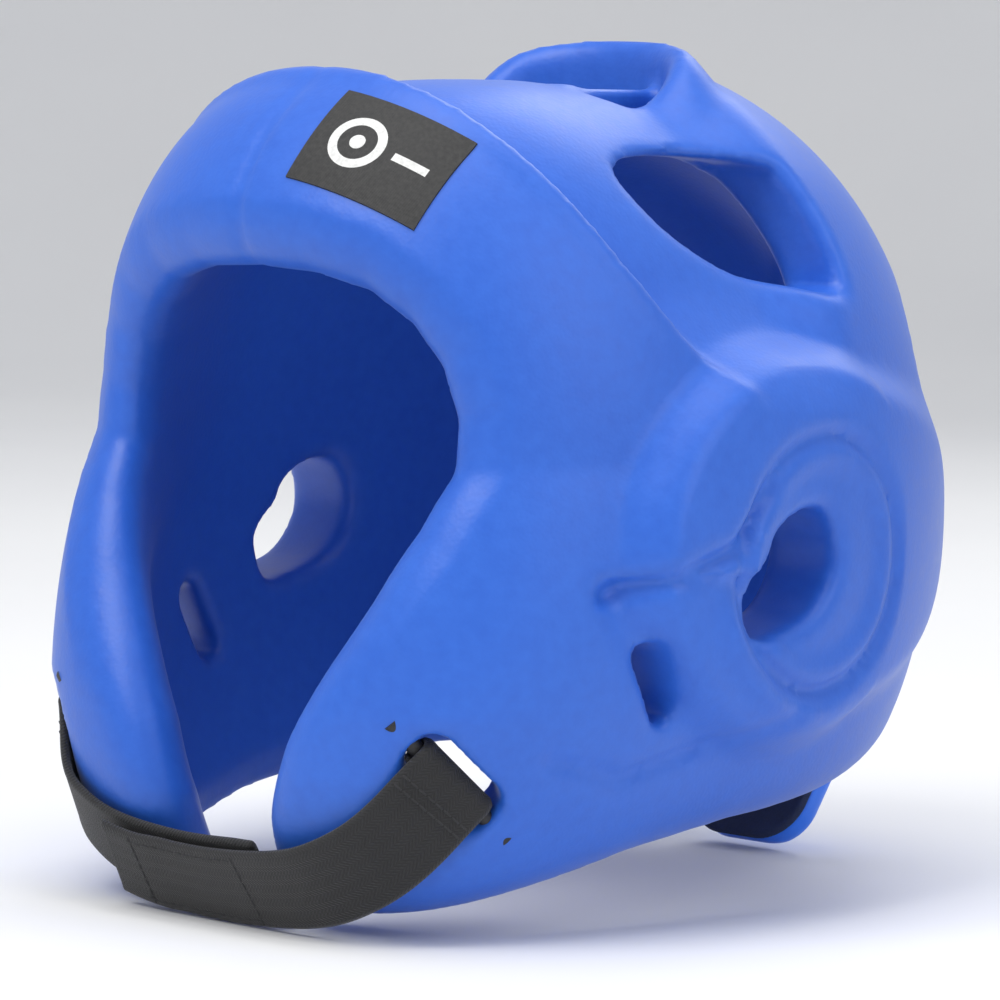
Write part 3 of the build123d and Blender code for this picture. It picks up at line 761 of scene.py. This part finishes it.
size = (nu + 1) * (nv + 1)
for j in range(nv):
    for i in range(nu):
        a = j * (nu + 1) + i
        fs.append((a, a + 1, a + nu + 2, a + nu + 1))
        fs.append(tuple(size + k for k in (a, a + nu + 1, a + nu + 2, a + 1)))
rim = [i for i in range(nu + 1)] + [j * (nu + 1) + nu for j in range(1, nv + 1)]
rim += [nv * (nu + 1) + i for i in range(nu - 1, -1, -1)] + [j * (nu + 1) for j in range(nv - 1, 0, -1)]
for a, b in zip(rim, rim[1:] + rim[:1]):
    fs.append((b, a, a + size, b + size))
label = new_object("forehead_patch", vs, fs, uv, flat=True)
label.data.materials.append(LABEL)
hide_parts("forehead_label")
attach(label, "shell")

# ------------------------------------------------------------------ nape tab
tab_low, tab_high = (np.array(v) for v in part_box("nape_tab"))
TAB_UP = np.array([0.0, 0.568514, 0.822674])
TAB_OUT = np.array([0.0, 0.822674, -0.568514])
TAB_THICK = 3.6
FLOOR_GAP = 0.5
# the tab's upper edge is highest at its inner face and furthest back at its outer one
inner_top = np.array([0.0, tab_high[1] / MM - TAB_THICK * TAB_OUT[1], tab_high[2] / MM])
# the tab's length along itself, from its height once its thickness is taken off
TAB_LENGTH = ((tab_high[2] - tab_low[2]) / MM + TAB_THICK * TAB_OUT[2]) / TAB_UP[2]


def tongue_field(half, top, foot, corner, low_n, high_n, k, dome=0.0, emboss=False):
    """Distance field of a plate with a round foot: x across, y up the tab, z out of it."""
    middle, reach = (top + foot) / 2, (top - foot) / 2

    def maker(x, y, z, step):
        cu = np.maximum(np.abs(x) - (half - corner), 0)
        cv = np.maximum(foot + corner - y, 0)
        bottom = np.sqrt(cu ** 2 + cv ** 2) - corner
        plan = np.maximum(np.maximum(np.abs(x) - half, bottom), y - top)
        swell = dome * np.clip(1 - (x / half) ** 2, 0, 1) * np.clip(1 - ((y - middle) / reach) ** 2, 0, 1)
        upper = z - high_n - swell
        if emboss:
            r = np.sqrt(x ** 2 + (y - middle) ** 2)
            upper = upper + 0.7 * np.exp(-((r - 6.5) / 0.9) ** 2) + 0.5 * smooth(2.6, 1.8, r)
        body = smax(plan, upper, k)
        height = inner_top[2] + y * TAB_UP[2] + z * TAB_OUT[2]
        body = smax(body, FLOOR_GAP - height, 3.0)
        return smax(body, low_n - z, min(k, 1.2))
    return maker


def tab_piece(name, maker, reach, mat, step):
    """A piece of the nape tab from its field, whose grid reaches the given height out of the tab."""
    v, f = mesh_from_field((-22.0, -60.0, -2.0), (22.0, 4.0, reach), step, maker)
    v = inner_top + v[:, :1] * np.array([-1.0, 0, 0]) + v[:, 1:2] * TAB_UP + v[:, 2:3] * TAB_OUT
    obj = new_object(name, v * MM, f)
    obj.data.materials.append(mat)
    return obj


fine = 0.5
backing_field = tongue_field(19.8, 0.0, -TAB_LENGTH, 13.0, 0.15, 3.5, 1.2)
# the tab's backing takes the dark navy of painted shade
backing = tab_piece("nape_backing", backing_field, 8.0, NAVY_PAINTED_SHADE, fine)
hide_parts("nape_tab")
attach(backing, "nape")
pad_field = tongue_field(19.6, -10.0, -TAB_LENGTH + 1.0, 13.0, 3.4, 11.4, 5.0, dome=1.0, emboss=True)
# the pad takes the brighter foam colour of painted light
pad = tab_piece("nape_pad", pad_field, 19.0, PAD_PAINTED_LIGHT, fine)
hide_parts("nape_tab_pad")
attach(pad, "nape")
segments = []
SEAM_REACH, SEAM_COUNT, STITCH = 17.0, 11, 2.1
for row in (-3.2, -5.4):
    for i in range(SEAM_COUNT):
        x = -SEAM_REACH + 2 * SEAM_REACH * (i + 0.5) / SEAM_COUNT
        a = inner_top + np.array([x - STITCH / 2, 0, 0]) + TAB_UP * row + TAB_OUT * 3.45
        segments.append((a * MM, (a + np.array([STITCH, 0, 0])) * MM))
nape_thread = threads("nape_thread", segments, 0.00035, THREAD)
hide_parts("nape_stitching")
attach(nape_thread, "nape")

# ------------------------------------------------------------------ carried-over pins
for node in ("left_slot_bar", "right_slot_bar"):
    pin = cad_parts[node]
    pin.data.materials.clear()
    pin.data.materials.append(PIN)

# ------------------------------------------------------------------ floor, light and camera
floor_mat, nodes, links, shader = material("floor_paper")
coords = nodes.new("ShaderNodeTexCoord").outputs["Object"]
clouds = noise(nodes, links, coords, 3.0)
paper = ramp(nodes, links, clouds, ((0.3, (0.84, 0.84, 0.845)), (0.7, (0.87, 0.87, 0.87))))
links.new(paper, shader.inputs["Base Color"])
shader.inputs["Roughness"].default_value = 0.8
# a round floor that sweeps up into a wall, as (radius, height) in metres
FLAT, SWEEP, WALL_TOP, SWEEP_STEPS, TURNS = 1.9, 1.2, 1.9, 12, 72
profile = [(0.4, 0.0), (FLAT, 0.0)]
for i in range(1, SWEEP_STEPS + 1):
    t = pi / 2 * i / SWEEP_STEPS
    profile.append((FLAT + SWEEP * sin(t), SWEEP - SWEEP * cos(t)))
profile.append((FLAT + SWEEP, WALL_TOP))
circle = [(cos(2 * pi * j / TURNS), sin(2 * pi * j / TURNS)) for j in range(TURNS)]
ground = [(rad * a, rad * b, h) for rad, h in profile for a, b in circle]
panels = [quad[::-1] for quad in ring_quads(len(profile), TURNS)]
panels.append(tuple(range(TURNS)))
floor = new_object("floor", ground, panels)
floor.data.materials.append(floor_mat)

world = bpy.data.worlds.new("studio")
bpy.context.scene.world = world
world.use_nodes = True
background = world.node_tree.nodes["Background"]
background.inputs["Color"].default_value = (0.93, 0.95, 1.0, 1.0)
background.inputs["Strength"].default_value = 0.62

TARGET = Vector((0, 0, 0.11))


def lamp(name, azimuth, elevation, distance, size, power):
    """A square area lamp that faces the headgear."""
    a, e = radians(azimuth), radians(elevation)
    place = TARGET + Vector((sin(a) * cos(e), -cos(a) * cos(e), sin(e))) * distance
    data = bpy.data.lights.new(name, "AREA")
    data.shape = "SQUARE"
    data.size = size
    data.energy = power
    obj = bpy.data.objects.new(name, data)
    obj.location = place
    obj.rotation_mode = "QUATERNION"
    obj.rotation_quaternion = (TARGET - place).to_track_quat("-Z", "Y")
    bpy.context.scene.collection.objects.link(obj)


lamp("key", 2.0, 52.0, 1.3, 0.7, 8.5)
lamp("fill", 95.0, 28.0, 1.6, 1.0, 4.5)
lamp("top", 60.0, 82.0, 1.3, 0.9, 6.0)
lamp("back", 200.0, 40.0, 1.6, 0.8, 5.0)

AZ, EL, ROLL = radians(43.0), radians(5.0), radians(1.5)
CAMERA_SIDE, CAMERA_UP, CAMERA_AWAY = 1.0, 107.0, 1500.0
level_right = Vector((cos(AZ), sin(AZ), 0.0))
level_up = Vector((-sin(AZ) * sin(EL), cos(AZ) * sin(EL), cos(EL)))
away = Vector((sin(AZ) * cos(EL), -cos(AZ) * cos(EL), sin(EL)))
place = level_right * CAMERA_SIDE + level_up * CAMERA_UP + away * CAMERA_AWAY
place = place + Vector((0, STATION_Y, FLOOR_Z))
right_axis = level_right * cos(ROLL) + level_up * sin(ROLL)
up_axis = level_up * cos(ROLL) - level_right * sin(ROLL)
camera = bpy.data.cameras.new("photo_view")
camera.lens = 194.4
camera.sensor_width = 36.0
camera.clip_end = 20.0
eye = bpy.data.objects.new("photo_view", camera)
basis = Matrix((right_axis, up_axis, away)).transposed().to_4x4()
eye.matrix_world = Matrix.Translation(place * MM) @ basis
bpy.context.scene.collection.objects.link(eye)
bpy.context.scene.camera = eye
bpy.context.scene.view_settings.view_transform = "Standard"
